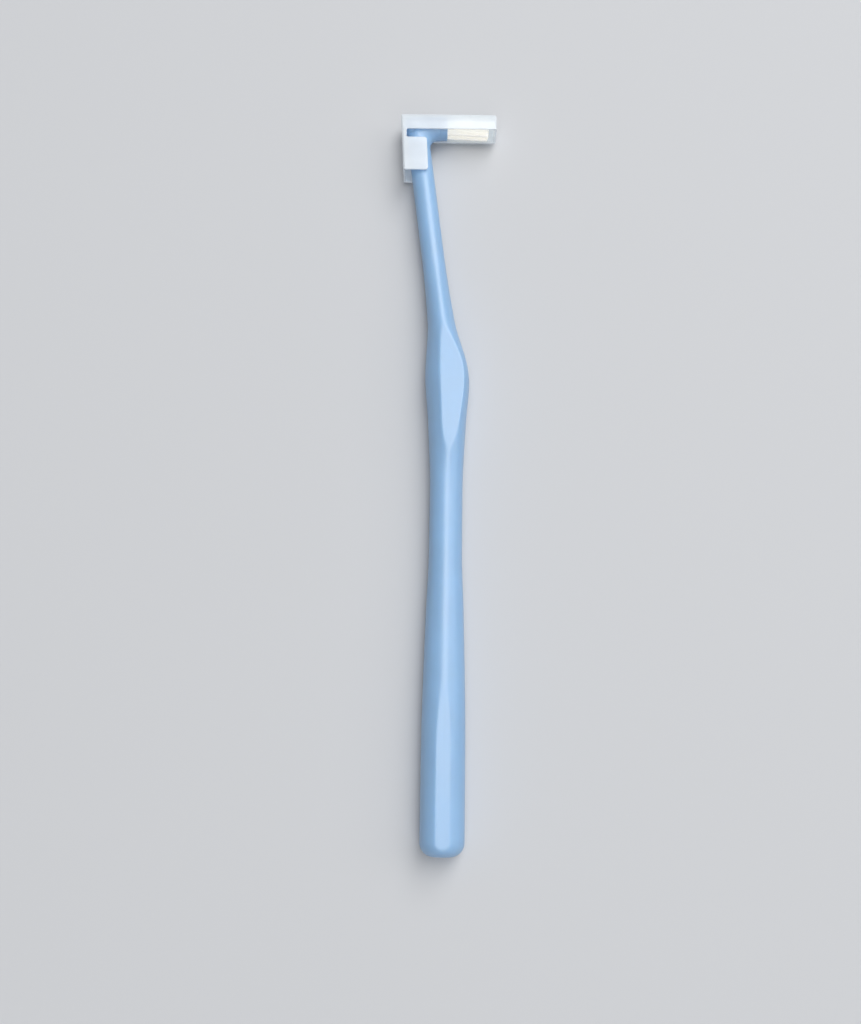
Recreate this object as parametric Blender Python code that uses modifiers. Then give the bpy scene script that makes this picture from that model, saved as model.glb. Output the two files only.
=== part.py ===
# End-tuft toothbrush with its hood cap, lying on its side.
# In the brush frame X points the way the bristles point, Y runs up the handle from its butt
# end to the head, and Z is up, across the handle. The handle's axis is X = 0 and its butt end
# is Y = 0. An empty moves the whole brush so that the origin lies under its middle.

import math

import bmesh
import bpy
from mathutils import Matrix, Vector
import numpy as np

MM = 0.001

# Handle: lengths along Y from the butt end up, widths along X and depths along Z
BUTT_ROUND = 2.6 * MM
BUTT_LENGTH = 19.0 * MM
BUTT_WIDTH = 8.4 * MM
BUTT_CROWN = 0.5 * MM
TAPER_LENGTH = 27.0 * MM
TAPER_WIDTH = 7.3 * MM
TAPER_DEPTH = 7.2 * MM
TAPER_TO_WAIST = 12.0 * MM
WAIST_LENGTH = 12.0 * MM
WAIST_WIDTH = 6.45 * MM
WAIST_DEPTH = 6.7 * MM
WAIST_TO_GRIP = 14.5 * MM
GRIP_WIDTH = 7.6 * MM
GRIP_CROWN = 1.2 * MM
GRIP_TO_THUMB = 9.2 * MM
THUMB_WIDTH = 8.9 * MM
THUMB_CROWN = 1.7 * MM
THUMB_FORWARD = 1.3 * MM
THUMB_TO_SHOULDER = 13.1 * MM
SHOULDER_WIDTH = 5.5 * MM
SHOULDER_DEPTH = 7.6 * MM
SHOULDER_TO_NECK = 14.2 * MM
NECK_LENGTH = 29.6 * MM
NECK_WIDTH = 4.65 * MM
NECK_DEPTH = 4.4 * MM

# The two sides of the grip are planed level, at the butt end and at the thumb rest
FLATS_DEPTH = 8.2 * MM

# The neck leans away from the bristles, from just above the thumb rest
BEND_PAST_THUMB = 1.5 * MM
BEND_LENGTH = 9.0 * MM
NECK_LEAN = math.radians(7.45)
NECK_FILLET = 2.4 * MM
FILLET_SINK = 0.12 * MM

# Bristles: closed rings of strands in each tuft
STRAND_RINGS = 4
STRANDS_PER_RING = 6
STRAND_SIDES = 3
STRAND_DIAMETER = 0.12 * MM
STRAND_GAP = 0.01 * MM
BRISTLE_LENGTH = 8.85 * MM
TUFT_LEAN = 0.17 * MM
TUFT_TIP_GAP = 0.03 * MM
TRIM_ROUND = 1.3 * MM
TRIM_DROP = 0.55 * MM

# Roots: packed strands in a middle hole and a ring of holes, folded under their staples
ROOT_SKIN = 0.02 * MM
ROOT_RECESS = 0.25 * MM
ROOT_ROUND = 0.35 * MM
ROOT_GRIP = 0.2 * MM
ROOT_FIT = 0.04 * MM
FOLD_DEPTH = 0.75 * MM
HOLES_IN_RING = 6
HOLE_WEB = 0.16 * MM

# Anchors: the flat metal staples that hold the folded tufts
ANCHOR_THICKNESS = 0.25 * MM
ANCHOR_HEIGHT = 1.3 * MM
ANCHOR_BITE = 0.12 * MM
ANCHOR_SEAT = 1.25 * MM
ANCHOR_FIT = 0.05 * MM

# Head: a short barrel across the neck, with a collar round its bored face
HEAD_LENGTH = 9.1 * MM
HEAD_HEEL = 0.18 * MM
HEAD_WALL = 0.32 * MM
HEAD_BACK_ROUND = 1.7 * MM
COLLAR_LENGTH = 1.4 * MM
COLLAR_STEP = 0.1 * MM
COLLAR_ROUND = 0.2 * MM

# Cap: a half-round arm over the head and the tufts, and a skirt round the neck's back, joined
# by the back wall alone between two notches. It is open below and in front of the neck.
CAP_WALL = 0.4 * MM
CAP_FIT = 0.1 * MM
CAP_BACK_FIT = 0.4 * MM
CAP_END_ROOM = 1.2 * MM
CAP_ARM_DROP = 1.6 * MM
CAP_NOTCH_HEIGHT = 2.0 * MM
CAP_NOTCH_WEB = 1.1 * MM
CAP_SKIRT_HEIGHT = 7.55 * MM
CAP_SKIRT_LENGTH = 5.3 * MM
CAP_LEAN = math.radians(3.1)
CAP_CORNER = 0.6 * MM
CAP_EDGE_ROUND = 0.6 * MM
CAP_MOUTH_CORNER = 0.6 * MM
CAP_NOTCH_CORNER = 0.4 * MM

# Fineness of the round forms
SECTION_POINTS = 32
BUTT_RINGS = 5
FILLET_RINGS = 5
LONG_SPACING = 2.8 * MM
THUMB_SPACING = 1.6 * MM
HEAD_STEPS = 40
HOLE_STEPS = 24
ROOT_STEPS = 16
CORNER_STEPS = 4
HALF_ROUND_STEPS = 16
ROUND_STEPS = 3
SMOOTH_ANGLE = math.radians(35)
RIM_ANGLE = math.radians(60)
WELD = 0.001 * MM

# How far a cutter runs past the face that it cuts
OVERCUT = 1.0 * MM

# Places along the handle that follow from its lengths
TAPER_AT = BUTT_LENGTH + TAPER_LENGTH
WAIST_FROM = TAPER_AT + TAPER_TO_WAIST
WAIST_TO = WAIST_FROM + WAIST_LENGTH
GRIP_AT = WAIST_TO + WAIST_TO_GRIP
THUMB_AT = GRIP_AT + GRIP_TO_THUMB
BEND_AT = THUMB_AT + BEND_PAST_THUMB
SHOULDER_AT = THUMB_AT + THUMB_TO_SHOULDER
NECK_AT = SHOULDER_AT + SHOULDER_TO_NECK
HEAD_AT = NECK_AT + NECK_LENGTH

# Radii that follow from the strands outwards: root, hole, ring of holes, head
STRAND_PITCH = STRAND_DIAMETER + STRAND_GAP
STRANDS_RADIUS = STRAND_RINGS * STRAND_PITCH
ROOT_RADIUS = STRANDS_RADIUS + STRAND_DIAMETER / 2 + ROOT_SKIN
HOLE_RADIUS = ROOT_RADIUS + ROOT_FIT
HOLE_PITCH = (2 * HOLE_RADIUS + HOLE_WEB) * max(1.0, 0.5 / math.sin(math.pi / HOLES_IN_RING))
HOLE_DEPTH = ANCHOR_SEAT + ANCHOR_HEIGHT + FOLD_DEPTH
COLLAR_RADIUS = HOLE_PITCH + HOLE_RADIUS + HEAD_WALL
HEAD_RADIUS = COLLAR_RADIUS + COLLAR_STEP
ANCHOR_HALF_WIDTH = HOLE_RADIUS + ANCHOR_BITE

# Radii at the trimmed tips, where neighbouring tufts nearly touch
TIP_SPREAD = 1 + TUFT_LEAN / HOLE_PITCH
TUFT_TIP_RADIUS = (HOLE_PITCH * TIP_SPREAD - TUFT_TIP_GAP) / 2
TUFT_SPREAD = (TUFT_TIP_RADIUS - STRAND_DIAMETER / 2) / STRANDS_RADIUS
BUNDLE_RADIUS = HOLE_PITCH * TIP_SPREAD + TUFT_TIP_RADIUS

# The head sits against the neck's back, and the cap round the head and the bristles
HEAD_BACK = -math.tan(NECK_LEAN) * (HEAD_AT - BEND_AT) - NECK_WIDTH / 2 - HEAD_HEEL
HEAD_FACE = HEAD_BACK + HEAD_LENGTH
HOODED_RADIUS = max(HEAD_RADIUS, BUNDLE_RADIUS, NECK_DEPTH / 2)
CAP_RADIUS = HOODED_RADIUS + CAP_FIT + CAP_WALL
CAP_TOP = HEAD_AT + CAP_RADIUS
CAP_END = HEAD_FACE + BRISTLE_LENGTH + CAP_END_ROOM + CAP_WALL
CAP_ARM_BOTTOM = HEAD_AT - CAP_ARM_DROP
CAP_SKIRT_TOP = CAP_ARM_BOTTOM - CAP_NOTCH_HEIGHT
CAP_SKIRT_BOTTOM = CAP_SKIRT_TOP - CAP_SKIRT_HEIGHT
FILLET_TOP = HEAD_AT - HEAD_RADIUS + FILLET_SINK
FILLET_START = FILLET_TOP - NECK_FILLET


def clear_scene():
    """Remove every object that the file opened with."""
    for item in list(bpy.data.objects):
        bpy.data.objects.remove(item)


def new_collection(name):
    collection = bpy.data.collections.new(name)
    bpy.context.scene.collection.children.link(collection)
    return collection


def new_material(name, colour, roughness, metallic=0.0, alpha=1.0):
    material = bpy.data.materials.new(name)
    material.use_nodes = True
    shader = material.node_tree.nodes["Principled BSDF"]
    shader.inputs["Base Color"].default_value = (*colour, 1.0)
    shader.inputs["Roughness"].default_value = roughness
    shader.inputs["Metallic"].default_value = metallic
    shader.inputs["Alpha"].default_value = alpha
    return material


def new_empty(name, collection, location, rotation=(0.0, 0.0, 0.0), parent=None):
    empty = bpy.data.objects.new(name, None)
    collection.objects.link(empty)
    empty.location = location
    empty.rotation_euler = rotation
    empty.parent = parent
    return empty


def new_object(name, mesh, collection, parent, location=(0.0, 0.0, 0.0)):
    item = bpy.data.objects.new(name, mesh)
    collection.objects.link(item)
    item.parent = parent
    item.location = location
    return item


def finished_mesh(name, shape):
    """Turn a bmesh into a mesh whose faces point out, and free it."""
    bmesh.ops.recalc_face_normals(shape, faces=shape.faces)
    mesh = bpy.data.meshes.new(name)
    shape.to_mesh(mesh)
    shape.free()
    return mesh


def make_cutter(item):
    item.hide_render = True
    item.display_type = "WIRE"
    return item


def add_boolean(item, operation, other):
    modifier = item.modifiers.new(f"{operation.lower()} {other.name}", "BOOLEAN")
    modifier.operation = operation
    modifier.solver = "EXACT"
    modifier.object = other


def shade_round(item):
    item.data.shade_smooth()
    item.data.set_sharp_from_angle(angle=SMOOTH_ANGLE)


def smooth_through(stations):
    """Return a function of place that passes smoothly through stations without overshoot."""
    places, values = (np.array(column) for column in zip(*stations))
    lengths = np.diff(places)
    slopes = np.diff(values) / lengths
    tangents = np.zeros(len(places))
    for i in range(1, len(places) - 1):
        before, after = slopes[i - 1], slopes[i]
        if before * after > 0:
            tangents[i] = 2 * before * after / (before + after)

    def value_at(place):
        i = int(np.clip(np.searchsorted(places, place) - 1, 0, len(lengths) - 1))
        t = float(np.clip((place - places[i]) / lengths[i], 0, 1))
        s = 1 - t
        start = values[i] * (1 + 2 * t) * s * s + tangents[i] * lengths[i] * t * s * s
        end = values[i + 1] * (1 + 2 * s) * t * t - tangents[i + 1] * lengths[i] * s * t * t
        return float(start + end)

    return value_at


def handle_axis(place):
    """X of the handle's middle line: straight, then bent back along a parabola into the neck."""
    past = place - (BEND_AT - BEND_LENGTH / 2)
    if past <= 0:
        return 0.0
    if past < BEND_LENGTH:
        return -math.tan(NECK_LEAN) * past ** 2 / (2 * BEND_LENGTH)
    return -math.tan(NECK_LEAN) * (place - BEND_AT)


def quarter_round(radius, distance):
    """How far a round of this radius draws a surface in, at a distance from its start."""
    depth = min(max(distance, 0.0), radius)
    return radius - math.sqrt(radius ** 2 - depth ** 2)


def handle_places():
    """Places of the sections, close together on the rounds and on the thumb bulge."""
    quarter = math.pi / 2
    butt = [BUTT_ROUND * (1 - math.cos(quarter * i / BUTT_RINGS)) for i in range(BUTT_RINGS)]
    fillet = [NECK_FILLET * math.sin(quarter * i / FILLET_RINGS) for i in range(FILLET_RINGS + 1)]
    stretches = [
        (BUTT_ROUND, WAIST_TO, LONG_SPACING),
        (WAIST_TO, NECK_AT, THUMB_SPACING),
        (NECK_AT, FILLET_START, LONG_SPACING),
    ]
    places = list(butt)
    for start, end, spacing in stretches:
        count = round((end - start) / spacing)
        places += [start + (end - start) * i / count for i in range(count)]
    places += [FILLET_START + rise for rise in fillet]
    return places + [HEAD_AT]


def head_hollow(height, radius):
    """How far the head's round underside lies above its lowest line, at a height from the middle."""
    return radius - math.sqrt(max(radius ** 2 - height ** 2, 0.0))


def handle_rings():
    """Ellipses across the handle, from the butt end to the middle of the head.

    On the thumb rest their crowns lie forward of the middle line. In the fillet the front
    swells forward and the ring bends round the head's barrel.
    """
    width_at = smooth_through([
        (BUTT_LENGTH, BUTT_WIDTH), (TAPER_AT, TAPER_WIDTH), (WAIST_FROM, WAIST_WIDTH),
        (WAIST_TO, WAIST_WIDTH), (GRIP_AT, GRIP_WIDTH), (THUMB_AT, THUMB_WIDTH),
        (SHOULDER_AT, SHOULDER_WIDTH), (NECK_AT, NECK_WIDTH), (HEAD_AT, NECK_WIDTH),
    ])
    depth_at = smooth_through([
        (BUTT_LENGTH, FLATS_DEPTH + BUTT_CROWN), (TAPER_AT, TAPER_DEPTH),
        (WAIST_FROM, WAIST_DEPTH), (WAIST_TO, WAIST_DEPTH), (GRIP_AT, FLATS_DEPTH + GRIP_CROWN),
        (THUMB_AT, FLATS_DEPTH + THUMB_CROWN), (SHOULDER_AT, SHOULDER_DEPTH),
        (NECK_AT, NECK_DEPTH), (HEAD_AT, NECK_DEPTH),
    ])
    forward_at = smooth_through([(WAIST_TO, 0.0), (THUMB_AT, THUMB_FORWARD), (SHOULDER_AT, 0.0)])
    angles = [2 * math.pi * i / SECTION_POINTS for i in range(SECTION_POINTS)]
    rings = []
    for place in handle_places():
        inset = quarter_round(BUTT_ROUND, BUTT_ROUND - place)
        flare = quarter_round(NECK_FILLET, place - FILLET_START)
        half_width = width_at(place) / 2 - inset + flare / 2
        half_depth = depth_at(place) / 2 - inset
        middle = handle_axis(place) + flare / 2
        share = min(max((place - FILLET_START) / NECK_FILLET, 0.0), 1.0)
        ring = []
        for angle in angles:
            x = middle + half_width * math.cos(angle) + forward_at(place) * math.sin(angle) ** 2
            z = half_depth * math.sin(angle)
            bend = share * min(1.0, 1.0 + math.cos(angle)) * head_hollow(z, HEAD_RADIUS)
            ring.append(Vector((x, min(place + bend, HEAD_AT), z)))
        rings.append(ring)
    return rings


def loft(name, rings):
    """Join rings of equal point counts with faces and close the two ends."""
    shape = bmesh.new()
    rows = [[shape.verts.new(point) for point in ring] for ring in rings]
    for lower, upper in zip(rows, rows[1:]):
        for i, corner in enumerate(lower):
            j = (i + 1) % len(lower)
            shape.faces.new((corner, lower[j], upper[j], upper[i]))
    shape.faces.new(rows[0])
    shape.faces.new(rows[-1])
    return finished_mesh(name, shape)


def arc(radius, height, fillet, start, end, steps):
    """Profile points on a fillet centred at (radius, height), between angles in degrees."""
    angles = [math.radians(start + (end - start) * i / steps) for i in range(steps + 1)]
    return [(radius + fillet * math.cos(a), height + fillet * math.sin(a)) for a in angles]


def turned(name, profile, steps, collection, parent, location=(0.0, 0.0, 0.0)):
    """Turn a profile of (radius, height) points, given from top to bottom, about local Z."""
    mesh = bpy.data.meshes.new(name)
    points = [(radius, 0.0, height) for radius, height in profile]
    mesh.from_pydata(points, [(i, i + 1) for i in range(len(points) - 1)], [])
    item = new_object(name, mesh, collection, parent, location)
    screw = item.modifiers.new("turn", "SCREW")
    screw.axis = "Z"
    screw.steps = steps
    screw.render_steps = steps
    screw.use_merge_vertices = True
    screw.merge_threshold = WELD
    return item


def rounded_outline(corners):
    """Points of an outline whose corners, (x, y, radius) in turning order, become arcs."""
    points = []
    for i, (x, y, radius) in enumerate(corners):
        corner = Vector((x, y))
        if not radius:
            points.append(corner)
            continue
        back = (Vector(corners[i - 1][:2]) - corner).normalized()
        ahead = (Vector(corners[(i + 1) % len(corners)][:2]) - corner).normalized()
        half_angle = back.angle(ahead) / 2
        centre = corner + (back + ahead).normalized() * radius / math.sin(half_angle)
        spoke = corner + back * radius / math.tan(half_angle) - centre
        turn = math.copysign(math.pi - 2 * half_angle, ahead.cross(back))
        for step in range(CORNER_STEPS + 1):
            points.append(centre + Matrix.Rotation(turn * step / CORNER_STEPS, 2) @ spoke)
    return points


def flat_solid(name, outline, half_thickness, collection, parent):
    """A filled flat outline in XY, extruded both ways along Z, as one welded mesh."""
    curve = bpy.data.curves.new(name, "CURVE")
    curve.dimensions = "2D"
    curve.fill_mode = "BOTH"
    curve.extrude = half_thickness
    spline = curve.splines.new("POLY")
    spline.points.add(len(outline) - 1)
    for point, place in zip(spline.points, outline):
        point.co = (*place, 0.0, 1.0)
    spline.use_cyclic_u = True
    guide = new_object(f"{name} guide", curve, collection, None)
    graph = bpy.context.evaluated_depsgraph_get()
    extruded = bpy.data.meshes.new_from_object(guide.evaluated_get(graph))
    bpy.data.objects.remove(guide)
    shape = bmesh.new()
    shape.from_mesh(extruded)
    bmesh.ops.remove_doubles(shape, verts=shape.verts, dist=WELD)
    return new_object(name, finished_mesh(name, shape), collection, parent)


def add_box(shape, low, high):
    """Add a box between two corners to a bmesh."""
    corners = bmesh.ops.create_cube(shape, size=1.0)["verts"]
    size = Vector(high) - Vector(low)
    middle = (Vector(high) + Vector(low)) / 2
    bmesh.ops.scale(shape, vec=size, verts=corners)
    bmesh.ops.translate(shape, vec=middle, verts=corners)


def hole_centres():
    """Centres of the tuft holes on the head's face: the middle one, then the ring."""
    half_step = math.pi / HOLES_IN_RING
    angles = [half_step + 2 * math.pi * i / HOLES_IN_RING for i in range(HOLES_IN_RING)]
    return [(0.0, 0.0)] + [(HOLE_PITCH * math.cos(a), HOLE_PITCH * math.sin(a)) for a in angles]


def anchor_boxes(name, top, collection, parent):
    """A cutter with one box round each staple, from its foot up to a height on the head's face."""
    half_width = ANCHOR_HALF_WIDTH + ANCHOR_FIT
    half_thickness = ANCHOR_THICKNESS / 2 + ANCHOR_FIT
    bottom = -ANCHOR_SEAT - ANCHOR_HEIGHT - ANCHOR_FIT
    shape = bmesh.new()
    for x, y in hole_centres():
        low = (x - half_width, y - half_thickness, bottom)
        add_box(shape, low, (x + half_width, y + half_thickness, top))
    return make_cutter(new_object(name, finished_mesh(name, shape), collection, parent))


def make_hole_cutter(collection, parent):
    """Straight blind holes for the tufts."""
    shape = bmesh.new()
    for x, y in hole_centres():
        middle = Matrix.Translation((x, y, (OVERCUT - HOLE_DEPTH) / 2))
        bmesh.ops.create_cone(
            shape, cap_ends=True, segments=HOLE_STEPS, radius1=HOLE_RADIUS,
            radius2=HOLE_RADIUS, depth=HOLE_DEPTH + OVERCUT, matrix=middle,
        )
    mesh = finished_mesh("tuft_holes", shape)
    return make_cutter(new_object("tuft_holes", mesh, collection, parent))


def make_barrel(collection, parent):
    """The head's barrel: a domed back, a plain wall and a collar round the bored face."""
    back = HEAD_BACK_ROUND
    profile = [(0.0, 0.0)]
    profile += arc(COLLAR_RADIUS - COLLAR_ROUND, -COLLAR_ROUND, COLLAR_ROUND, 90, 0, ROUND_STEPS)
    profile += [(COLLAR_RADIUS, -COLLAR_LENGTH), (HEAD_RADIUS, -COLLAR_LENGTH - COLLAR_STEP)]
    profile += arc(HEAD_RADIUS - back, back - HEAD_LENGTH, back, 0, -90, 2 * ROUND_STEPS)
    profile += [(0.0, -HEAD_LENGTH)]
    return make_cutter(turned("head_barrel", profile, HEAD_STEPS, collection, parent))


def make_plane_cutter(collection, parent):
    """Two blocks that plane the crowned sides of the grip."""
    reach = max(BUTT_WIDTH, THUMB_WIDTH)
    height = BUTT_CROWN + THUMB_CROWN + OVERCUT
    shape = bmesh.new()
    for side in (-1, 1):
        near = side * FLATS_DEPTH / 2
        far = side * (FLATS_DEPTH / 2 + height)
        low = (-reach, -OVERCUT, min(near, far))
        add_box(shape, low, (reach, NECK_AT, max(near, far)))
    mesh = finished_mesh("grip_planes", shape)
    return make_cutter(new_object("grip_planes", mesh, collection, parent))


def make_handle(collection, cutters, frame, face, material):
    """The one-piece moulding: grip, thumb rest, leaning neck and bored head."""
    handle = new_object("handle", loft("handle", handle_rings()), collection, frame)
    handle.data.materials.append(material)
    add_boolean(handle, "UNION", make_barrel(cutters, face))
    add_boolean(handle, "DIFFERENCE", make_plane_cutter(cutters, frame))
    add_boolean(handle, "DIFFERENCE", anchor_boxes("anchor_slots", OVERCUT, cutters, face))
    add_boolean(handle, "DIFFERENCE", make_hole_cutter(cutters, face))
    shade_round(handle)
    return handle


def strand_places():
    """Places of the strands in one tuft: one in the middle, then rings that grow evenly."""
    places = [Vector((0.0, 0.0, 0.0))]
    for ring in range(1, STRAND_RINGS + 1):
        count = STRANDS_PER_RING * ring
        for i in range(count):
            angle = 2 * math.pi * (i + ring / 2) / count
            places.append(Vector((math.cos(angle), math.sin(angle), 0.0)) * ring * STRAND_PITCH)
    return places


def trim_height(distance):
    """Height of the trimmed tips above the face, rounded off at the bundle's edge."""
    past = max(distance - (BUNDLE_RADIUS - TRIM_ROUND), 0.0) / TRIM_ROUND
    return BRISTLE_LENGTH - TRIM_DROP * (1 - math.sqrt(max(1 - past ** 2, 0.0)))


def make_strands(name, hole, collection, parent):
    """Strands of one tuft, from inside its root to the trimmed tips, spread without crossing."""
    shape = bmesh.new()
    corners = [2 * math.pi * i / STRAND_SIDES for i in range(STRAND_SIDES)]
    section = [Vector((math.cos(a), math.sin(a), 0.0)) * STRAND_DIAMETER / 2 for a in corners]
    middle = Vector((*hole, 0.0))
    for place in strand_places():
        foot = middle + place
        tip = middle * TIP_SPREAD + place * TUFT_SPREAD
        tip.z = trim_height(tip.length)
        foot.z = -ROOT_RECESS - ROOT_GRIP
        lower = [shape.verts.new(foot + point) for point in section]
        upper = [shape.verts.new(tip + point) for point in section]
        shape.faces.new(lower)
        shape.faces.new(upper)
        for i, corner in enumerate(lower):
            j = (i + 1) % STRAND_SIDES
            shape.faces.new((corner, lower[j], upper[j], upper[i]))
    return make_cutter(new_object(name, finished_mesh(name, shape), collection, parent))


def make_tufts(collection, cutters, face, material):
    """Each tuft: a packed root folded under its staple, and the strands that stand on it."""
    windows = anchor_boxes("root_windows", ANCHOR_FIT - ANCHOR_SEAT, cutters, face)
    bottom = ROOT_FIT - HOLE_DEPTH
    root = [(0.0, -ROOT_RECESS), (ROOT_RADIUS, -ROOT_RECESS)]
    root += arc(ROOT_RADIUS - ROOT_ROUND, bottom + ROOT_ROUND, ROOT_ROUND, 0, -90, ROUND_STEPS)
    root += [(0.0, bottom)]
    for number, hole in enumerate(hole_centres(), start=1):
        tuft = turned(f"tuft_{number}", root, ROOT_STEPS, collection, face, (*hole, 0.0))
        tuft.data.materials.append(material)
        add_boolean(tuft, "DIFFERENCE", windows)
        add_boolean(tuft, "UNION", make_strands(f"strands_{number}", hole, cutters, face))


def make_anchors(collection, face, material):
    """A flat metal staple across each tuft, held in the slot that it cuts into the head."""
    shape = bmesh.new()
    low = (-ANCHOR_HALF_WIDTH, -ANCHOR_THICKNESS / 2, -ANCHOR_HEIGHT)
    add_box(shape, low, (ANCHOR_HALF_WIDTH, ANCHOR_THICKNESS / 2, 0.0))
    mesh = finished_mesh("anchor", shape)
    mesh.materials.append(material)
    for number, hole in enumerate(hole_centres(), start=1):
        new_object(f"anchor_{number}", mesh, collection, face, (*hole, -ANCHOR_SEAT))


def cap_back(place):
    """X of the cap's leaning back wall, outside, at a place along the brush."""
    at_head = HEAD_BACK - CAP_BACK_FIT - CAP_WALL
    return at_head - math.tan(CAP_LEAN) * (place - HEAD_AT)


def hood_outline(inset):
    """The hood seen from the side, drawn in by an inset and run out past its mouth."""
    corner = CAP_CORNER - inset
    inset_in_x = inset / math.cos(CAP_LEAN)
    bottom = CAP_SKIRT_BOTTOM - CAP_CORNER - OVERCUT
    top = CAP_TOP - inset
    return rounded_outline([
        (cap_back(bottom) + inset_in_x, bottom, corner),
        (CAP_END - inset, bottom, corner),
        (CAP_END - inset, top, corner),
        (cap_back(top) + inset_in_x, top, corner),
    ])


def mouth_outline():
    """What is cut off the hood, seen from the side: below the arm, round the skirt and the notch."""
    bottom = CAP_SKIRT_BOTTOM - CAP_CORNER - 2 * OVERCUT
    behind = cap_back(bottom) - OVERCUT
    ahead = CAP_END + OVERCUT
    notch_back = cap_back(CAP_ARM_BOTTOM) + CAP_NOTCH_WEB
    return rounded_outline([
        (behind, CAP_SKIRT_BOTTOM, 0),
        (behind, bottom, 0),
        (ahead, bottom, 0),
        (ahead, CAP_ARM_BOTTOM, 0),
        (notch_back, CAP_ARM_BOTTOM, CAP_NOTCH_CORNER),
        (notch_back, CAP_SKIRT_TOP, CAP_NOTCH_CORNER),
        (cap_back(CAP_SKIRT_TOP) + CAP_SKIRT_LENGTH, CAP_SKIRT_TOP, CAP_MOUTH_CORNER),
        (cap_back(CAP_SKIRT_BOTTOM) + CAP_SKIRT_LENGTH, CAP_SKIRT_BOTTOM, CAP_MOUTH_CORNER),
    ])


def make_half_round(name, radius, collection, frame):
    """A bar along X as wide as the hood: half round above the head's axis, straight below it."""
    angles = [math.pi * (i / HALF_ROUND_STEPS - 0.5) for i in range(HALF_ROUND_STEPS + 1)]
    outline = [(HEAD_AT + radius * math.cos(a), radius * math.sin(a)) for a in angles]
    bottom = CAP_SKIRT_BOTTOM - CAP_CORNER - 2 * OVERCUT
    outline += [(bottom, radius), (bottom, -radius)]
    reach = max(CAP_END, -cap_back(CAP_TOP)) + OVERCUT
    bar = flat_solid(name, outline, reach, collection, frame)
    bar.rotation_euler = (math.pi / 2, 0.0, math.pi / 2)
    return make_cutter(bar)


def make_hood(name, inset, collection, cutters, frame):
    """The hood as one solid with rounded edges, or its hollow when inset by the wall."""
    radius = CAP_RADIUS - inset
    hood = flat_solid(name, hood_outline(inset), radius, collection, frame)
    bevel = hood.modifiers.new("round edges", "BEVEL")
    bevel.width = CAP_EDGE_ROUND - inset
    bevel.segments = ROUND_STEPS
    bevel.limit_method = "ANGLE"
    bevel.angle_limit = RIM_ANGLE
    add_boolean(hood, "INTERSECT", make_half_round(f"{name}_round", radius, cutters, frame))
    return hood


def make_cap(collection, cutters, frame, material):
    """The hood with its hollow, its mouth and its notches cut.

    It hangs on an empty whose Y is the line that the cap is pulled off along.
    """
    cap = make_hood("cap", 0.0, collection, cutters, frame)
    cap.data.materials.append(material)
    hollow = make_hood("cap_hollow", CAP_WALL, cutters, cutters, frame)
    mouth = flat_solid("cap_mouth", mouth_outline(), CAP_RADIUS + OVERCUT, cutters, frame)
    add_boolean(cap, "DIFFERENCE", make_cutter(hollow))
    add_boolean(cap, "DIFFERENCE", make_cutter(mouth))
    shade_round(cap)
    seat = (cap_back(HEAD_AT) + CAP_WALL / math.cos(CAP_LEAN), HEAD_AT, 0.0)
    pull = new_empty("cap_pull", collection, seat, (0.0, 0.0, CAP_LEAN), frame)
    bpy.context.view_layer.update()
    cap.parent = pull
    cap.matrix_parent_inverse = pull.matrix_local.inverted()
    return cap


def main():
    clear_scene()
    parts = new_collection("toothbrush")
    cutters = new_collection("cutters")
    sides = [point.x for point in hood_outline(0.0)]
    middle = (-(min(sides) + max(sides)) / 2, -CAP_TOP / 2, FLATS_DEPTH / 2)
    frame = new_empty("brush_frame", parts, middle)
    facing_bristles = (math.pi / 2, 0.0, math.pi / 2)
    face = new_empty("head_face", parts, (HEAD_FACE, HEAD_AT, 0.0), facing_bristles, frame)
    bpy.context.view_layer.update()

    blue = new_material("blue polypropylene", (0.19, 0.44, 0.84), 0.35)
    milky = new_material("milky cap plastic", (0.82, 0.87, 0.9), 0.4, alpha=0.45)
    nylon = new_material("cream nylon", (0.93, 0.86, 0.7), 0.5)
    metal = new_material("staple metal", (0.72, 0.66, 0.55), 0.35, metallic=1.0)

    make_handle(parts, cutters, frame, face, blue)
    make_tufts(parts, cutters, face, nylon)
    make_anchors(parts, face, metal)
    make_cap(parts, cutters, frame, milky)


main()
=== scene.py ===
# End-tuft toothbrush with its hood cap: the finished look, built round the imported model.
# In the brush frame X points the way the bristles point, Y runs up the handle from its butt
# end to the head, and Z is up, across the handle as the brush lies on its side.

import math
import random

import bmesh
import bpy
from bpy.props import FloatProperty, FloatVectorProperty, IntProperty, PointerProperty
from mathutils import Matrix, Vector
import numpy as np


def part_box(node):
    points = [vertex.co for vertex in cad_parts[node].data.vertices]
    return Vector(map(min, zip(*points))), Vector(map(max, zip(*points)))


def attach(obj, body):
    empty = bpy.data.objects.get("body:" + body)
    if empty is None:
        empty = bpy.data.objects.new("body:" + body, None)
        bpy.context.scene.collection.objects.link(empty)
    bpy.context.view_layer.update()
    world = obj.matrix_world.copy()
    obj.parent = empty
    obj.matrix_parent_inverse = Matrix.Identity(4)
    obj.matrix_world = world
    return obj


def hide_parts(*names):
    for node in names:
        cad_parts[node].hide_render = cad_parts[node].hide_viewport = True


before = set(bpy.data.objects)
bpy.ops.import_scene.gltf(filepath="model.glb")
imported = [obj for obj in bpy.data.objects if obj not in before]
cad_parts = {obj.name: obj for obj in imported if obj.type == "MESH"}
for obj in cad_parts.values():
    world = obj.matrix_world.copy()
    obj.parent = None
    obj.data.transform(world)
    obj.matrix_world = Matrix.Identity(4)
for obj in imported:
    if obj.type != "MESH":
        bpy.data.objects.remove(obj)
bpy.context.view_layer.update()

bl_info = {
    "name": "End-tuft toothbrush",
    "version": (1, 0, 0),
    "blender": (4, 5, 0),
    "location": "3D View > Sidebar > Toothbrush",
    "description": "Finely modelled toothbrush with a hood cap, on its packed model",
    "category": "Add Mesh",
}

MM = 0.001
QUARTER = math.pi / 2

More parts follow.
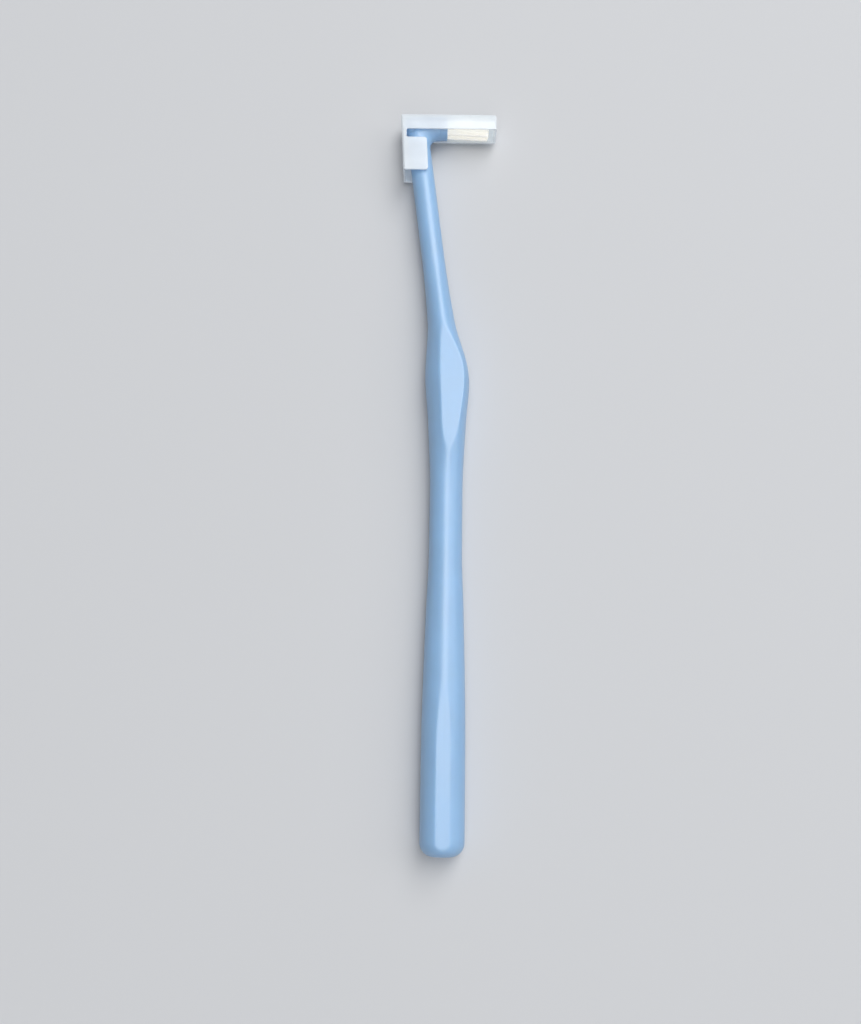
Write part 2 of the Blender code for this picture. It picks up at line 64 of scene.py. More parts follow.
# Handle: lengths along Y from the butt end up, widths along X and depths along Z
BUTT_ROUND = 2.6 * MM
BUTT_LENGTH = 19.0 * MM
BUTT_WIDTH = 8.4 * MM
BUTT_CROWN = 0.5 * MM
TAPER_LENGTH = 27.0 * MM
TAPER_WIDTH = 7.3 * MM
TAPER_DEPTH = 7.2 * MM
TAPER_TO_WAIST = 12.0 * MM
WAIST_LENGTH = 12.0 * MM
WAIST_WIDTH = 6.45 * MM
WAIST_DEPTH = 6.7 * MM
WAIST_TO_GRIP = 14.5 * MM
GRIP_WIDTH = 7.6 * MM
GRIP_CROWN = 1.2 * MM
GRIP_TO_THUMB = 9.2 * MM
THUMB_WIDTH = 8.9 * MM
THUMB_CROWN = 1.7 * MM
THUMB_FORWARD = 1.3 * MM
THUMB_TO_SHOULDER = 13.1 * MM
SHOULDER_WIDTH = 5.5 * MM
SHOULDER_DEPTH = 7.6 * MM
SHOULDER_TO_NECK = 14.2 * MM
NECK_LENGTH = 29.6 * MM
NECK_WIDTH = 4.65 * MM
NECK_DEPTH = 4.4 * MM
BEND_PAST_THUMB = 1.5 * MM
BEND_LENGTH = 9.0 * MM
NECK_LEAN = math.radians(7.45)
FLAT_EDGE_ROUND = 0.07 * MM

# Gate mark: the broken-off nub in a small sunk disc in the middle of the butt end, as radii and
# depths in millimetres, from the middle out
GATE_PROFILE = [
    (0.28, 0.13), (0.4, 0.17), (0.46, 0.34), (0.95, 0.36), (1.1, 0.28), (1.2, 0.04), (1.28, 0.0),
]

# Joint of the two mould halves: a fine ridge in the plane midway up the brush, and the steps
# across it at which a section has extra points
JOINT_ANGLE = math.radians(1.4)
JOINT_STEPS = (-1, -0.5, 0.5, 1)

# Head: a short barrel across the neck, with a collar round its bored face. The collar's foot is
# rounded from a turn in degrees on
HEAD_LENGTH = 9.1 * MM
HEAD_RADIUS = 2.5 * MM
HEAD_HEEL = 0.18 * MM
HEAD_BACK_ROUND = 1.7 * MM
COLLAR_RADIUS = 2.4 * MM
COLLAR_LENGTH = 1.4 * MM
COLLAR_STEP = 0.1 * MM
COLLAR_ROUND = 0.2 * MM
COLLAR_FOOT_TURN = 60

# Fillet between the neck and the barrel: long in front, short on the sides and at the back. The
# neck's end, sunk in the barrel, keeps only a share of its depth
FRONT_FILLET = 2.4 * MM
SIDE_FLARE = 0.22 * MM
SIDE_RISE = 0.85 * MM
SIDE_TURN = math.radians(35)
FILLET_SINK = 0.05 * MM
FILLET_LEAD = 8.0 * MM
SUNK_SHARE = 0.9

# Tuft holes, the folded roots in them and the slots for the staples
TUFT_COUNT = 7
HOLE_RADIUS = 0.64 * MM
HOLE_DEPTH = 3.3 * MM
HOLE_CHAMFER = 0.06 * MM
SLOT_ROOM = 0.05 * MM
ROOT_RADIUS = 0.6 * MM
ROOT_RECESS = 0.25 * MM
ROOT_ROUND = 0.35 * MM
ROOT_FIT = 0.04 * MM
ROOT_GRIP = 0.2 * MM

# Bristles: strands in rings, their spread, the trim, and the blunt share of a strand's tip
STRAND_RINGS = 4
STRANDS_PER_RING = 6
STRAND_PITCH = 0.13 * MM
TUFT_LEAN = 0.17 * MM
TUFT_TIP_GAP = 0.03 * MM
TRIM_ROUND = 1.3 * MM
TRIM_DROP = 0.55 * MM
TIP_SHARE = 0.15

# Cap: a half-round arm and a skirt, joined by the back wall between two notches
CAP_WALL = 0.4 * MM
CAP_BACK_FIT = 0.4 * MM
CAP_ARM_DROP = 1.6 * MM
CAP_NOTCH_HEIGHT = 2.0 * MM
CAP_NOTCH_WEB = 1.1 * MM
CAP_SKIRT_LENGTH = 5.3 * MM
CAP_LEAN = math.radians(3.1)
CAP_EDGE_ROUND = 0.4 * MM
CAP_INNER_ROUND = 0.15 * MM
CAP_MOUTH_CORNER = 0.6 * MM
CAP_NOTCH_CORNER = 0.4 * MM
CAP_RIM_ROUND = 0.08 * MM

# Fineness of the round forms
RING_POINTS = 120
RING_SPACING = 0.6 * MM
BUTT_RINGS = 16
LEAD_RINGS = 8
FILLET_RINGS = 12
ROUND_STEPS = 8
ROOT_STEPS = 6
HOLE_STEPS = 48
STRAND_STEPS = 6
HALF_ROUND_STEPS = 60
TIP_STEPS = 3
EDGE_STEPS = 5
COLLAR_FOOT_STEPS = 3
RIM_STEPS = 3
ROUND_PROFILE = 0.5

# Joining: how close corners are welded, which edges shade as sharp, which are rounded as rims,
# and how far a cutting tool stands out past what it cuts
WELD = 0.001 * MM
SHARP_ANGLE = math.radians(32)
RIM_ANGLE = math.radians(60)
OVERCUT = 1.0 * MM

# Finishes: depth of the fine relief, the painted glow that the nylon and the milky cap give off,
# and the share of a bristle's length from which it turns paler
HANDLE_RELIEF = 0.012 * MM
NYLON_RELIEF = 0.003 * MM
WIRE_RELIEF = 0.004 * MM
CAP_RELIEF = 0.004 * MM
NYLON_PAINTED_GLOW = 0.19
CAP_PAINTED_GLOW = 0.06
PALE_TIP_FROM = 0.75

# Stage: a key softbox whose light mirrors off the flats into the camera, a weak fill from the
# butt's side, and a side softbox that mirrors off the handle's front
FLOOR_SIZE = 6.0
FLOOR_CELLS = 12
FADE_FROM = 0.4
FADE_TO = 1.8
KEY_LOCATION = (0.325, 0.65, 1.6)
KEY_WIDTH = 0.9
KEY_LENGTH = 2.4
FILL_LOCATION = (0.2, -1.3, 1.5)
FILL_SIZE = 1.5
SIDE_LOCATION = (1.4, 0.35, 1.2)
SIDE_SIZE = 1.2
WORLD_COLOUR = (0.93, 0.96, 1.0, 1.0)
BACKDROP_COLOUR = (0.64, 0.65, 0.67, 1.0)
SEEN_RAYS = ("Camera", "Glossy", "Transmission")

# Camera: its film's long side, and the point of the brush frame in the middle of the picture
SENSOR_WIDTH = 36.0
AIM = Vector((-3.076 * MM, 65.969 * MM, 0.0))

# How far a finished piece may lie from the box of the node that it stands for
FIT_TOLERANCE = 0.12 * MM

# Places that follow from the handle's lengths
TAPER_AT = BUTT_LENGTH + TAPER_LENGTH
WAIST_FROM = TAPER_AT + TAPER_TO_WAIST
WAIST_TO = WAIST_FROM + WAIST_LENGTH
GRIP_AT = WAIST_TO + WAIST_TO_GRIP
THUMB_AT = GRIP_AT + GRIP_TO_THUMB
BEND_AT = THUMB_AT + BEND_PAST_THUMB
SHOULDER_AT = THUMB_AT + THUMB_TO_SHOULDER
NECK_AT = SHOULDER_AT + SHOULDER_TO_NECK
HEAD_AT = NECK_AT + NECK_LENGTH
HEAD_BACK = -math.tan(NECK_LEAN) * (HEAD_AT - BEND_AT) - NECK_WIDTH / 2 - HEAD_HEEL
HEAD_FACE = HEAD_BACK + HEAD_LENGTH

# The brush frame's place in the model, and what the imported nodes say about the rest
HANDLE_LOW, HANDLE_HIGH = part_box("handle")
CAP_LOW, CAP_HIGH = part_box("cap")
TUFT_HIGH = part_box("tuft_1")[1]
BRUSH_ORIGIN = Vector((HANDLE_LOW.x - HEAD_BACK, HANDLE_LOW.y, (HANDLE_LOW.z + HANDLE_HIGH.z) / 2))
FLAT_HALF = (HANDLE_HIGH.z - HANDLE_LOW.z) / 2
CAP_RADIUS = (CAP_HIGH.z - CAP_LOW.z) / 2
BRISTLE_LENGTH = TUFT_HIGH.x - BRUSH_ORIGIN.x - HEAD_FACE
CAP_END = CAP_HIGH.x - BRUSH_ORIGIN.x
CAP_SKIRT_BOTTOM = CAP_LOW.y - BRUSH_ORIGIN.y
CAP_ARM_BOTTOM = HEAD_AT - CAP_ARM_DROP
CAP_SKIRT_TOP = CAP_ARM_BOTTOM - CAP_NOTCH_HEIGHT
STAPLE_BOXES = [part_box(f"anchor_{number}") for number in range(1, TUFT_COUNT + 1)]

# The head's face: local Z points out of it along X, local X up the brush and local Y across
FACE_MATRIX = Matrix.Translation(BRUSH_ORIGIN + Vector((HEAD_FACE, HEAD_AT, 0.0))) @ Matrix((
    (0.0, 0.0, 1.0, 0.0),
    (1.0, 0.0, 0.0, 0.0),
    (0.0, 1.0, 0.0, 0.0),
    (0.0, 0.0, 0.0, 1.0),
))
BRUSH_MATRIX = Matrix.Translation(BRUSH_ORIGIN)


class HandleSettings(bpy.types.PropertyGroup):
    """Colour, satin and mould joint of the handle"""

    colour: FloatVectorProperty(
        name="Colour", description="Sky blue of the moulded handle",
        subtype="COLOR", size=3, min=0.0, max=1.0, default=(0.262, 0.466, 0.73),
    )
    roughness: FloatProperty(
        name="Roughness", description="Satin of the moulded skin",
        subtype="FACTOR", min=0.0, max=1.0, default=0.38,
    )
    joint_height: FloatProperty(
        name="Mould joint", description="Height of the fine ridge between the mould halves",
        unit="LENGTH", min=0.0, max=0.1 * MM, default=0.03 * MM,
    )


class BristleSettings(bpy.types.PropertyGroup):
    """Colour, size and stray of the nylon strands"""

    colour: FloatVectorProperty(
        name="Colour", description="Cream white of the nylon",
        subtype="COLOR", size=3, min=0.0, max=1.0, default=(0.99, 0.975, 0.92),
    )
    strand_diameter: FloatProperty(
        name="Strand", description="Diameter of one strand",
        unit="LENGTH", min=0.08 * MM, max=0.13 * MM, default=0.126 * MM,
    )
    strand_sides: IntProperty(
        name="Sides", description="Sides of one strand", min=4, max=16, default=8,
    )
    wander: FloatProperty(
        name="Wander", description="How far a tip strays from its place",
        unit="LENGTH", min=0.0, max=0.03 * MM, default=0.022 * MM,
    )
    seed: IntProperty(
        name="Seed", description="Picks how the strands stray", min=0, default=4,
    )


class StapleSettings(bpy.types.PropertyGroup):
    """Colour and edges of the flat wire"""

    colour: FloatVectorProperty(
        name="Colour", description="Drawn flat wire",
        subtype="COLOR", size=3, min=0.0, max=1.0, default=(0.72, 0.66, 0.55),
    )
    edge: FloatProperty(
        name="Edge", description="Round on the edges of the flat wire",
        unit="LENGTH", min=0.0, max=0.1 * MM, default=0.035 * MM,
    )


class CapSettings(bpy.types.PropertyGroup):
    """Colour and haze of the cap"""

    colour: FloatVectorProperty(
        name="Colour", description="Milky white of the clear cap",
        subtype="COLOR", size=3, min=0.0, max=1.0, default=(0.86, 0.92, 0.98),
    )
    haze: FloatProperty(
        name="Haze", description="How milky one face of the wall is",
        subtype="FACTOR", min=0.0, max=1.0, default=0.58,
    )


class StageSettings(bpy.types.PropertyGroup):
    """Floor, lights and camera"""

    floor_colour: FloatVectorProperty(
        name="Floor", description="Pale grey of the floor",
        subtype="COLOR", size=3, min=0.0, max=1.0, default=(0.62, 0.63, 0.65),
    )
    key_power: FloatProperty(
        name="Key", description="Power of the softbox over the head's end",
        unit="POWER", min=0.0, default=27.5,
    )
    fill_power: FloatProperty(
        name="Fill", description="Power of the softbox at the butt's side",
        unit="POWER", min=0.0, default=8.5,
    )
    side_power: FloatProperty(
        name="Side", description="Power of the softbox at the bristles' side",
        unit="POWER", min=0.0, default=6.0,
    )
    world_light: FloatProperty(
        name="Room", description="Strength of the even light from all round",
        min=0.0, default=0.15,
    )
    tilt: FloatProperty(
        name="Tilt", description="Camera's tilt from straight down",
        unit="ROTATION", default=math.radians(12.79),
    )
    lean: FloatProperty(
        name="Lean", description="Camera's turn about the upright",
        unit="ROTATION", default=math.radians(0.8455),
    )
    distance: FloatProperty(
        name="Distance", description="From the camera to the middle of the picture",
        unit="LENGTH", min=0.1, default=229.16 * MM,
    )
    lens: FloatProperty(
        name="Lens", description="Focal length for a long side of 36",
        unit="CAMERA", min=10.0, default=40.43,
    )


class ToothbrushSettings(bpy.types.PropertyGroup):
    """The settings of all pieces and of the stage"""

    handle: PointerProperty(type=HandleSettings)
    bristles: PointerProperty(type=BristleSettings)
    staples: PointerProperty(type=StapleSettings)
    cap: PointerProperty(type=CapSettings)
    stage: PointerProperty(type=StageSettings)


class Signal:
    """A socket in a node tree. Python's operators on it add Math nodes."""

    def __init__(self, nodes, socket):
        self.nodes = nodes
        self.socket = socket

    def math(self, operation, first, second):
        values = {"Value": first, "Value_001": second}
        return self.nodes.node("ShaderNodeMath", {"operation": operation}, values)

    def __add__(self, other):
        return self.math("ADD", self, other)

    def __sub__(self, other):
        return self.math("SUBTRACT", self, other)

    def __rsub__(self, other):
        return self.math("SUBTRACT", other, self)

    def __mul__(self, other):
        return self.math("MULTIPLY", self, other)

    def __pow__(self, other):
        return self.math("POWER", self, other)

    def __rpow__(self, other):
        return self.math("POWER", other, self)

    def larger(self, other):
        """The larger of two values."""
        return self.math("MAXIMUM", self, other)

    __radd__ = __add__
    __rmul__ = __mul__


class NodeTree:
    """A node tree that is put together from expressions on its sockets."""

    def __init__(self, tree, shader, output):
        self.tree = tree
        self.shader = tree.nodes[shader]
        self.output = tree.nodes[output]

    def feed(self, node, values):
        """Give a node's sockets, named by identifier, their values or links."""
        sockets = {socket.identifier: socket for socket in node.inputs}
        for name, value in values.items():
            if isinstance(value, Signal):
                self.tree.links.new(value.socket, sockets[name])
            else:
                sockets[name].default_value = value

    def node(self, kind, settings=None, values=None, output=None):
        """Add a node: its settings first, then its sockets. Gives one of its outputs."""
        node = self.tree.nodes.new(kind)
        for name, setting in (settings or {}).items():
            setattr(node, name, setting)
        self.feed(node, values or {})
        outputs = {socket.identifier: socket for socket in node.outputs if socket.enabled}
        return Signal(self, outputs[output] if output else next(iter(outputs.values())))

    def seen(self):
        """1 for what the camera sees, straight or in gloss and clear plastic, and 0 for light."""
        straight, glossy, through = (
            self.node("ShaderNodeLightPath", output=f"Is {kind} Ray") for kind in SEEN_RAYS
        )
        return straight.larger(glossy).larger(through)

    def show(self, share, plain):
        """Show a plain shader in place of the tree's own one, by a share."""
        own = Signal(self, self.shader.outputs[0])
        values = {"Fac": share, "Shader": own, "Shader_001": plain}
        self.feed(self.output, {"Surface": self.node("ShaderNodeMixShader", values=values)})


class Finish(NodeTree):
    """A material with one main shader."""

    def __init__(self, name):
        self.material = bpy.data.materials.new(name)
        self.material.use_nodes = True
        super().__init__(self.material.node_tree, "Principled BSDF", "Material Output")

    def place(self):
        """Where a point is on its own piece, in metres."""
        return self.node("ShaderNodeTexCoord", output="Object")

    def stretched(self, place, scale):
        """A place with its axes scaled, so that noise on it runs in streaks."""
        values = {"Vector": place, "Vector_001": scale}
        return self.node("ShaderNodeVectorMath", {"operation": "MULTIPLY"}, values)

    def distance(self, place):
        """How far a point is from its piece's origin."""
        values = {"Vector": place}
        return self.node("ShaderNodeVectorMath", {"operation": "LENGTH"}, values, output="Value")

    def noise(self, place, scale, detail=2.0):
        """Soft noise from 0 to 1, with a scale in grains a metre."""
        values = {"Vector": place, "Scale": scale, "Detail": detail}
        return self.node("ShaderNodeTexNoise", values=values, output="Fac")

    def ramp(self, value, low, high):
        """A number that goes from 0 at low to 1 at high, and stays there."""
        values = {"Value": value, "From Min": low, "From Max": high}
        return self.node("ShaderNodeMapRange", values=values)

    def tinted(self, share, colour, start, end):
        """A colour that goes from one shade of itself to another, each a factor of its light."""
        shades = {"A_Color": shade(colour, start), "B_Color": shade(colour, end)}
        values = {"Factor_Float": share, **shades}
        return self.node("ShaderNodeMix", {"data_type": "RGBA"}, values, output="Result_Color")

    def bump(self, height, depth):
        """A normal that follows a fine relief."""
        return self.node("ShaderNodeBump", values={"Height": height, "Distance": depth})

    def finished(self, **sockets):
        """Feed the shader. Names stand for its sockets, with _ for a space."""
        identifiers = {
            socket.identifier.lower().replace(" ", "_"): socket.identifier
            for socket in self.shader.inputs
        }
        self.feed(self.shader, {identifiers[name]: value for name, value in sockets.items()})
        return self.material


def shade(colour, factor):
    """A colour made lighter or darker, with the alpha that sockets want."""
    return (*(min(part * factor, 1.0) for part in colour), 1.0)


def handle_plastic(settings):
    """Satin blue polypropylene: soft clouding, flow streaks along the handle and a fine grain."""
    finish = Finish("satin_blue_plastic")
    place = finish.place()
    clouds = finish.noise(place, scale=160.0, detail=3.0)
    streaks = finish.noise(finish.stretched(place, (1.0, 0.05, 1.0)), scale=900.0)
    grain = finish.noise(place, scale=9000.0, detail=1.0)
    ripple = finish.noise(place, scale=420.0, detail=1.0)
    scuffs = finish.noise(finish.stretched(place, (1.0, 0.12, 1.0)), scale=3200.0, detail=3.0)
    marks = finish.ramp(scuffs, low=0.62, high=0.74)
    tint = finish.ramp(0.65 * clouds + 0.35 * streaks, low=0.3, high=0.7)
    relief = 0.5 * ripple + 0.12 * grain + 0.06 * marks
    return finish.finished(
        base_color=finish.tinted(tint, settings.colour, start=0.95, end=1.05),
        roughness=settings.roughness - 0.05 + 0.1 * clouds + 0.08 * marks,
        normal=finish.bump(relief, HANDLE_RELIEF),
        ior=1.52,
        specular_ior_level=1.0,
        subsurface_weight=0.12,
        subsurface_radius=(0.3, 0.6, 1.0),
        subsurface_scale=1.0 * MM,
    )


def bristle_nylon(settings):
    """Cream nylon: each strand a little lighter or darker, paler at the cut tips, and a painted
    glow that lifts the shade between the strands.
    """
    finish = Finish("cream_nylon")
    place = finish.place()
    strands = finish.noise(finish.stretched(place, (1.0, 1.0, 0.02)), scale=7000.0, detail=1.0)
    length = finish.node("ShaderNodeSeparateXYZ", values={"Vector": place}, output="Z")
    tips = finish.ramp(length, low=PALE_TIP_FROM * BRISTLE_LENGTH, high=BRISTLE_LENGTH)
    tint = finish.ramp(strands, low=0.25, high=0.75) * 0.75 + 0.25 * tips
    colour = finish.tinted(tint, settings.colour, start=0.95, end=1.01)
    lines = finish.noise(finish.stretched(place, (1.0, 1.0, 0.03)), scale=26000.0, detail=1.0)
    return finish.finished(
        base_color=colour,
        roughness=0.32 + 0.16 * strands,
        normal=finish.bump(lines, NYLON_RELIEF),
        ior=1.53,
        # Painted glow: the nylon gives off light of its own colour, which lifts the shade among the
        # strands
        emission_color=colour,
        emission_strength=NYLON_PAINTED_GLOW,
        subsurface_weight=0.6,
        subsurface_radius=(1.0, 0.95, 0.85),
        subsurface_scale=0.3 * MM,
    )


def staple_wire(settings):
    """Drawn flat wire: fine lines along it, slightly dulled."""
    finish = Finish("drawn_flat_wire")
    place = finish.place()
    lines = finish.noise(finish.stretched(place, (0.05, 1.0, 1.0)), scale=22000.0)
    dull = finish.noise(place, scale=1500.0)
    tint = finish.ramp(dull, low=0.35, high=0.7)
    return finish.finished(
        base_color=finish.tinted(tint, settings.colour, start=1.05, end=0.8),
        metallic=1.0,
        roughness=0.24 + 0.2 * dull + 0.08 * lines,
        normal=finish.bump(lines, WIRE_RELIEF),
    )


def cap_plastic(settings):
    """Milky clear plastic: hazier where it curves away, with faint flow lines and scuffs, and a
    faint painted glow of its own colour.
    """
    finish = Finish("milky_clear_plastic")
    place = finish.place()
    clouds = finish.noise(place, scale=260.0, detail=3.0)
    flow = finish.noise(finish.stretched(place, (0.25, 1.0, 1.0)), scale=1100.0)
    scuffs = finish.noise(finish.stretched(place, (1.0, 0.2, 1.0)), scale=4200.0, detail=3.0)
    marks = finish.ramp(scuffs, low=0.63, high=0.75)
    edge = finish.node("ShaderNodeLayerWeight", values={"Blend": 0.35}, output="Facing")
    tint = finish.ramp(clouds, low=0.3, high=0.7)
    colour = finish.tinted(tint, settings.colour, start=0.98, end=1.03)
    return finish.finished(
        base_color=colour,
        roughness=0.16 + 0.06 * clouds + 0.05 * marks,
        alpha=settings.haze + 0.4 * edge ** 2.0 + 0.05 * (clouds - 0.5) + 0.02 * marks,
        normal=finish.bump(0.6 * flow + 0.05 * marks, CAP_RELIEF),
        ior=1.49,
        specular_ior_level=0.8,
        # Painted glow: the cap gives off a faint light of its own colour
        emission_color=colour,
        emission_strength=CAP_PAINTED_GLOW,
        subsurface_weight=0.2,
        subsurface_radius=(1.0, 1.0, 1.0),
        subsurface_scale=0.6 * MM,
    )


def floor_paint(settings):
    """Plain pale matt floor with the slightest mottle, which far out becomes the backdrop."""
    finish = Finish("pale_matt_floor")
    place = finish.place()
    mottle = finish.noise(place, scale=14.0, detail=4.0)
    far = finish.ramp(finish.distance(place), low=FADE_FROM, high=FADE_TO)
    backdrop = finish.node("ShaderNodeEmission", values={"Color": BACKDROP_COLOUR})
    finish.show(far * finish.seen(), backdrop)
    return finish.finished(
        base_color=finish.tinted(mottle, settings.floor_colour, start=0.99, end=1.01),
        roughness=0.75 + 0.1 * mottle,
    )


def finished_mesh(name, shape):
    """Turn a bmesh into a smooth-shaded mesh whose faces point out, and free it."""
    bmesh.ops.recalc_face_normals(shape, faces=shape.faces)
    mesh = bpy.data.meshes.new(name)
    shape.to_mesh(mesh)
    shape.free()
    mesh.shade_smooth()
    return mesh


def new_item(name, mesh, matrix):
    """Add a mesh to the scene as an object."""
    item = bpy.data.objects.new(name, mesh)
    bpy.context.scene.collection.objects.link(item)
    item.matrix_world = matrix
    return item


def modelled(item, steps):
    """Apply Boolean steps, (operation, tool), to an item, weld its corners and remove the tools."""
    for operation, tool in steps:
        cut = item.modifiers.new(operation.lower(), "BOOLEAN")
        cut.operation = operation
        cut.solver = "EXACT"
        cut.object = tool
    weld = item.modifiers.new("weld", "WELD")
    weld.merge_threshold = WELD
    bpy.context.view_layer.update()
    graph = bpy.context.evaluated_depsgraph_get()
    item.data = bpy.data.meshes.new_from_object(item.evaluated_get(graph))
    item.modifiers.clear()
    for _, tool in steps:
        bpy.data.objects.remove(tool)
    return item


def dress(item, material, node, body):
    """Give a finished piece its material and body, hide the node that it stands for, and check that
    it fits that node.
    """
    item.data.set_sharp_from_angle(angle=SHARP_ANGLE)
    item.data.materials.clear()
    item.data.materials.append(material)
    bpy.context.view_layer.update()
    corners = [item.matrix_world @ vertex.co for vertex in item.data.vertices]
    for axis in range(3):
        reach = [corner[axis] for corner in corners]
        low, high = (corner[axis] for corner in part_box(node))
        if abs(min(reach) - low) > FIT_TOLERANCE or abs(max(reach) - high) > FIT_TOLERANCE:
            raise ValueError(f"{item.name} does not fit {node} along {'XYZ'[axis]}")
    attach(item, body)
    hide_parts(node)
    return item


def smooth_through(stations):
    """Return a function of place that passes smoothly through stations without overshoot."""
    places, values = (np.array(column) for column in zip(*stations))
    lengths = np.diff(places)
    slopes = np.diff(values) / lengths
    tangents = np.zeros(len(places))
    for i in range(1, len(places) - 1):
        before, after = slopes[i - 1], slopes[i]
        if before * after > 0:
            tangents[i] = 2 * before * after / (before + after)

    def value_at(place):
        i = int(np.clip(np.searchsorted(places, place) - 1, 0, len(lengths) - 1))
        t = float(np.clip((place - places[i]) / lengths[i], 0, 1))
        s = 1 - t
        start = values[i] * (1 + 2 * t) * s * s + tangents[i] * lengths[i] * t * s * s
        end = values[i + 1] * (1 + 2 * s) * t * t - tangents[i + 1] * lengths[i] * s * t * t
        return float(start + end)

    return value_at


width_at = smooth_through([
    (BUTT_LENGTH, BUTT_WIDTH), (TAPER_AT, TAPER_WIDTH), (WAIST_FROM, WAIST_WIDTH),
    (WAIST_TO, WAIST_WIDTH), (GRIP_AT, GRIP_WIDTH), (THUMB_AT, THUMB_WIDTH),
    (SHOULDER_AT, SHOULDER_WIDTH), (NECK_AT, NECK_WIDTH), (HEAD_AT, NECK_WIDTH),
])
depth_at = smooth_through([
    (BUTT_LENGTH, 2 * FLAT_HALF + BUTT_CROWN), (TAPER_AT, TAPER_DEPTH),
    (WAIST_FROM, WAIST_DEPTH), (WAIST_TO, WAIST_DEPTH), (GRIP_AT, 2 * FLAT_HALF + GRIP_CROWN),
    (THUMB_AT, 2 * FLAT_HALF + THUMB_CROWN), (SHOULDER_AT, SHOULDER_DEPTH),
    (NECK_AT, NECK_DEPTH), (HEAD_AT, NECK_DEPTH),
])
forward_at = smooth_through([(WAIST_TO, 0.0), (THUMB_AT, THUMB_FORWARD), (SHOULDER_AT, 0.0)])


def handle_axis(place):
    """X of the handle's middle line: straight, then bent back along a parabola into the neck."""
    past = place - (BEND_AT - BEND_LENGTH / 2)
    if past <= 0:
        return 0.0
    if past < BEND_LENGTH:
        return -math.tan(NECK_LEAN) * past ** 2 / (2 * BEND_LENGTH)
    return -math.tan(NECK_LEAN) * (place - BEND_AT)


def quarter_round(radius, distance):
    """How far a round of this radius draws a surface in, at a distance from its start."""
    depth = min(max(distance, 0.0), radius)
    return radius - math.sqrt(radius ** 2 - depth ** 2)


def levelled(height):
    """A height above the middle, held at the flats with a small round where it meets them."""
    over = abs(height) - (FLAT_HALF - FLAT_EDGE_ROUND)
    if over <= 0:
        return height
    rest = max(2 * FLAT_EDGE_ROUND - over, 0.0)
    return math.copysign(FLAT_HALF - rest ** 2 / (4 * FLAT_EDGE_ROUND), height)


def ring_angles():
    """Angles round a section, with extra points across the two mould joints."""
    even = [2 * math.pi * i / RING_POINTS for i in range(RING_POINTS)]
    beside = [side + step * JOINT_ANGLE for side in (0, math.pi) for step in JOINT_STEPS]
    return sorted(even + [angle % (2 * math.pi) for angle in beside])


def joint_rise(angle, height):
    """How far the mould joint's ridge stands proud at an angle of a section."""
    return height * max(1 - (math.remainder(angle, math.pi) / JOINT_ANGLE) ** 2, 0.0)


def barrel_radius(x):
    """Radius of the head's barrel at a place along it, small on the domed back."""
    return HEAD_RADIUS - quarter_round(HEAD_BACK_ROUND, HEAD_BACK_ROUND - (x - HEAD_BACK))


def body_ring(place, angles, joint):
    """A plain section of the handle: an ellipse with its sides levelled off."""
    inset = quarter_round(BUTT_ROUND, BUTT_ROUND - place)
    half_width = width_at(place) / 2 - inset
    half_depth = depth_at(place) / 2 - inset
    ring = []
    for angle in angles:
        forward = forward_at(place) * math.sin(angle) ** 2
        x = handle_axis(place) + (half_width + joint_rise(angle, joint)) * math.cos(angle) + forward
        ring.append(Vector((x, place, levelled(half_depth * math.sin(angle)))))
    return ring


def fillet_point(angle, share, joint):
    """A point of the fillet, from its start on the neck, 0, to the barrel's skin, 1."""
    forward = (1 + math.cos(angle)) / 2
    turn = SIDE_TURN + (QUARTER - SIDE_TURN) * max(math.cos(angle), 0.0)
    rise = SIDE_RISE + (FRONT_FILLET - SIDE_RISE) * max(math.cos(angle), 0.0)
    flare = (1 - math.cos(share * turn)) / (1 - math.cos(turn))
    climb = math.sin(share * turn) / math.sin(turn)
    half_depth = NECK_DEPTH / 2
    z_end = (half_depth + SIDE_FLARE) * math.sin(angle)
    x_end = handle_axis(HEAD_AT) + NECK_WIDTH / 2 * math.cos(angle) + FRONT_FILLET * forward
    radius = barrel_radius(x_end)
    y_end = HEAD_AT - math.sqrt(max(radius ** 2 - z_end ** 2, 0.0)) + FILLET_SINK
    place = y_end - rise * (1 - climb)
    half_width = NECK_WIDTH / 2 + joint_rise(angle, joint)
    x = handle_axis(place) + half_width * math.cos(angle) + FRONT_FILLET * forward * flare
    return Vector((x, place, (half_depth + SIDE_FLARE * flare) * math.sin(angle)))


def handle_rings(joint):
    """Sections from the gate mark in the butt end up to the inside of the barrel."""
    angles = ring_angles()
    rings = []
    for radius, depth in GATE_PROFILE:
        reach = radius * MM
        spokes = [(reach * math.cos(angle), reach * math.sin(angle)) for angle in angles]
        rings.append([Vector((x, depth * MM, z)) for x, z in spokes])
    for i in range(BUTT_RINGS):
        place = BUTT_ROUND * (1 - math.cos(QUARTER * i / BUTT_RINGS))
        rings.append(body_ring(place, angles, joint))
    lead_at = HEAD_AT - FILLET_LEAD
    count = round((lead_at - BUTT_ROUND) / RING_SPACING)
    for i in range(count):
        rings.append(body_ring(BUTT_ROUND + (lead_at - BUTT_ROUND) * i / count, angles, joint))
    level = body_ring(lead_at, angles, joint)
    start = [fillet_point(angle, 0.0, joint) for angle in angles]
    for i in range(LEAD_RINGS):
        rings.append([low.lerp(high, i / LEAD_RINGS) for low, high in zip(level, start)])
    for i in range(FILLET_RINGS + 1):
        rings.append([fillet_point(angle, i / FILLET_RINGS, joint) for angle in angles])
    rings.append([Vector((point.x, HEAD_AT, point.z * SUNK_SHARE)) for point in rings[-1]])
    return rings


def loft(shape, rings):
    """Join rings of equal point counts with faces and close the two ends."""
    rows = [[shape.verts.new(point) for point in ring] for ring in rings]
    for lower, upper in zip(rows, rows[1:]):
        for i, corner in enumerate(lower):
            j = (i + 1) % len(lower)
            shape.faces.new((corner, lower[j], upper[j], upper[i]))
    shape.faces.new(rows[0])
    shape.faces.new(rows[-1])


def lofted(name, rings, matrix):
    """Add rings, joined and closed, to the scene as an object."""
    shape = bmesh.new()
    loft(shape, rings)
    return new_item(name, finished_mesh(name, shape), matrix)


